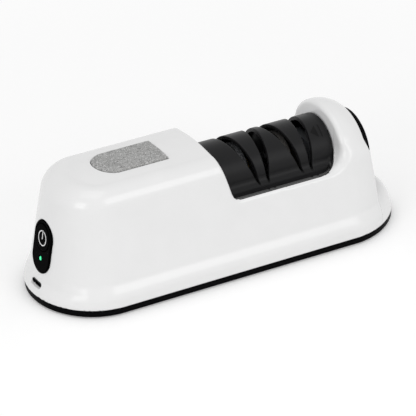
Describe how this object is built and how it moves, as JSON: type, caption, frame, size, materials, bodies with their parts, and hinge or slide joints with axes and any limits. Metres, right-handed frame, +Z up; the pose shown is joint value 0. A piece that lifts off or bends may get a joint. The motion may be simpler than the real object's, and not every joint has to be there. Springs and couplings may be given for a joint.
{
  "type": "electric knife sharpener",
  "caption": "Rechargeable electric knife sharpener: white body, slotted black cover over sharpening wheels, whetstone pad on top, lock knob at one end, power panel at the other.",
  "frame": {"origin": "middle of the footprint, on the surface that the rubber feet stand on", "axes": "+X along the length, from the power panel to the lock knob; +Z up; +Y to the rear, so the long side that the picture shows faces -Y"},
  "size_m": [0.1957, 0.0662, 0.0628],
  "materials": {
    "white_shell": "gloss moulded",
    "black_satin": "satin moulded",
    "black_gloss": "high gloss",
    "black_base": "fine texture",
    "rubber": "matt",
    "abrasive": "coarse bonded grit",
    "symbol_white": "printed inlay",
    "lens_green": "lit lens",
    "steel": "turned",
    "motor_steel": "zinc plated can",
    "brass": "sintered",
    "circuit_board": "solder resist",
    "cell_wrap": "shrink wrap",
    "diamond_grit": "bonded diamond grit",
    "ceramic_grit": "fired ceramic",
    "grey_moulding": "plain moulded",
    "red_lead": "sleeving"
  },
  "bodies": {
    "housing": {"upper_housing": "white_shell", "base_plate": "black_base", "foot_front_left": "rubber", "foot_rear_left": "rubber", "foot_front_right": "rubber", "foot_rear_right": "rubber", "base_screw_front_left": "steel", "base_screw_rear_left": "steel", "base_screw_front_right": "steel", "base_screw_rear_right": "steel", "whetstone": "abrasive", "knob_bearing": "grey_moulding", "bush_left": "brass", "bush_right": "brass", "wheel_cradle": "grey_moulding", "motor_can": "motor_steel", "motor_mount": "grey_moulding", "motor_screw_lower": "steel", "motor_screw_upper": "steel", "battery_cell": "cell_wrap", "battery_holder": "grey_moulding", "main_board": "circuit_board", "usb_c_shell": "steel", "usb_c_tongue": "black_gloss", "motor_lead_red": "red_lead", "battery_lead_red": "red_lead", "motor_lead_black": "black_base", "battery_lead_black": "black_base", "control_panel": "black_gloss", "status_lens": "lens_green", "status_led": "symbol_white", "tact_switch": "grey_moulding", "button_board": "circuit_board"},
    "wheel_rotor": {"wheel_spindle": "steel", "driven_dog": "black_satin", "coarse_wheel_left": "diamond_grit", "coarse_wheel_right": "diamond_grit", "coarse_spacer": "brass", "fine_wheel_left": "ceramic_grit", "fine_wheel_right": "ceramic_grit", "fine_spacer": "brass"},
    "motor_rotor": {"motor_shaft": "steel", "drive_dog": "black_satin"},
    "cover": {"sharpening_cover": "black_satin"},
    "lock_knob": {"end_knob": "black_satin", "knob_spindle": "grey_moulding"},
    "button": {"power_button": "black_gloss", "power_symbol_ring": "symbol_white", "power_symbol_bar": "symbol_white", "switch_plunger": "symbol_white"}
  },
  "joints": [
    {"name": "wheel_spin", "type": "hinge", "parent": "housing", "child": "wheel_rotor", "pos_m": [0, 0, 0.04136], "axis": [1, 0, 0], "continuous": true},
    {"name": "motor_spin", "type": "hinge", "parent": "housing", "child": "motor_rotor", "pos_m": [-0.02, 0, 0.04136], "axis": [1, 0, 0], "continuous": true},
    {"name": "cover_lift", "type": "slide", "parent": "housing", "child": "cover", "axis": [0, 0, 1], "range_m": [0, 0.03]},
    {"name": "knob_turn", "type": "hinge", "parent": "housing", "child": "lock_knob", "pos_m": [0.0745, 0, 0.0361], "axis": [1, 0, 0], "range_deg": [0, 90]},
    {"name": "button_press", "type": "slide", "parent": "housing", "child": "button", "axis": [0.9888, 0, -0.1493], "range_m": [0, 0.0007], "stiffness_N_per_m": 300}
  ],
  "couplings": [
    {"joint": "motor_spin", "follows": "wheel_spin", "ratio": 1}
  ]
}
